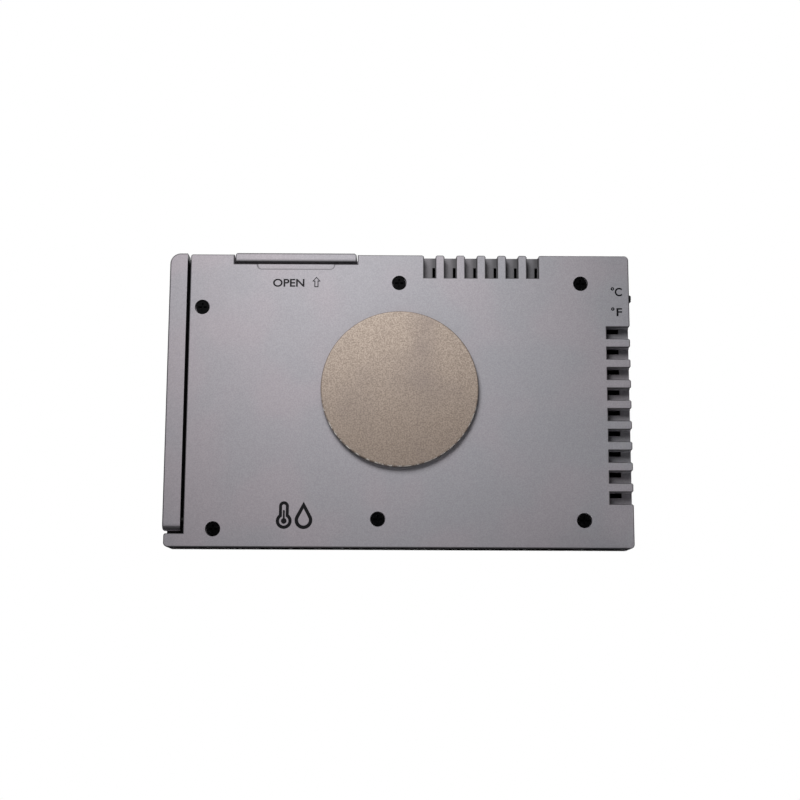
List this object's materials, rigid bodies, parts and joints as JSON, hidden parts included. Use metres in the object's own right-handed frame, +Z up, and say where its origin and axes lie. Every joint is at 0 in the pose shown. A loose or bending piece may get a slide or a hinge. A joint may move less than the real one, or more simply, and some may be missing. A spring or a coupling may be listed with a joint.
{
  "type": "digital room thermometer",
  "caption": "Card-size battery room thermometer and hygrometer with vented back, slide-out coin-cell tray, side unit switch, magnet disc and fold-out stand leg.",
  "frame": {"origin": "middle of the bottom face of the case, on which it stands", "axes": "+Z up, -Y the way the display faces, +Y out of the back, +X towards the stand leg"},
  "size_m": [0.087, 0.0088, 0.0553],
  "materials": {
    "case_paint": "fine silver-grey paint over moulded plastic, faint grain",
    "black_steel": "blackened steel screw, semi-gloss",
    "plain_steel": "bright zinc-plated steel",
    "tape": "white double-sided acrylic tape",
    "magnet_plate": "matte champagne-coloured plating with a fine grain",
    "cell_steel": "bright stainless steel",
    "natural_plastic": "natural polypropylene",
    "cell_core": "pressed powder electrode with separator",
    "contact_nickel": "nickel-plated spring sheet",
    "black_plastic": "black moulded plastic, satin",
    "window_acrylic": "clear acrylic with a printed silver border",
    "polariser": "polarising film",
    "lcd_glass": "thin display glass",
    "reflector": "grey-green reflective film",
    "holder_plastic": "white moulded plastic",
    "elastomer": "striped conductive elastomer",
    "board_laminate": "green solder mask on glass-fibre laminate",
    "resin": "black epoxy resin",
    "tinned_wire": "tinned copper wire",
    "sensor_ceramic": "glazed alumina"
  },
  "bodies": {
    "case": {"front_cover": "case_paint", "rear_cover": "case_paint", "case_screws": "black_steel", "board_screws": "plain_steel", "stand_hinge_pin": "plain_steel", "magnet_adhesive": "tape", "window_tape": "tape", "magnet_disc": "magnet_plate", "negative_contact": "contact_nickel", "positive_contact": "contact_nickel", "switch_shell": "contact_nickel", "switch_terminals": "contact_nickel", "switch_base": "black_plastic", "display_window": "window_acrylic", "front_polariser": "polariser", "lcd_front_glass": "lcd_glass", "lcd_seal": "natural_plastic", "lcd_rear_glass": "lcd_glass", "lcd_reflector": "reflector", "lcd_holder": "holder_plastic", "zebra_connector": "elastomer", "circuit_board": "board_laminate", "controller_resin": "resin", "clock_crystal": "cell_steel", "crystal_leads": "tinned_wire", "thermistor_bead": "resin", "thermistor_leads": "tinned_wire", "humidity_sensor": "sensor_ceramic", "humidity_sensor_pins": "tinned_wire", "chip_resistors": "sensor_ceramic", "chip_capacitors": "sensor_ceramic"},
    "stand_leg": {"stand_leg": "case_paint"},
    "battery_tray": {"battery_tray": "case_paint", "coin_cell_can": "cell_steel", "coin_cell_cap": "cell_steel", "coin_cell_gasket": "natural_plastic", "coin_cell_core": "cell_core"},
    "unit_switch": {"switch_knob": "black_plastic"}
  },
  "joints": [
    {"name": "stand_leg_fold", "type": "hinge", "parent": "case", "child": "stand_leg", "pos_m": [0.0415, 0.0018, 0.005], "axis": [-1, 0, 0], "range_deg": [0, 93]},
    {"name": "battery_tray_slide", "type": "slide", "parent": "case", "child": "battery_tray", "axis": [0, 0, 1], "range_m": [0, 0.0265]},
    {"name": "unit_switch_slide", "type": "slide", "parent": "case", "child": "unit_switch", "axis": [0, 0, -1], "range_m": [0, 0.002]}
  ]
}
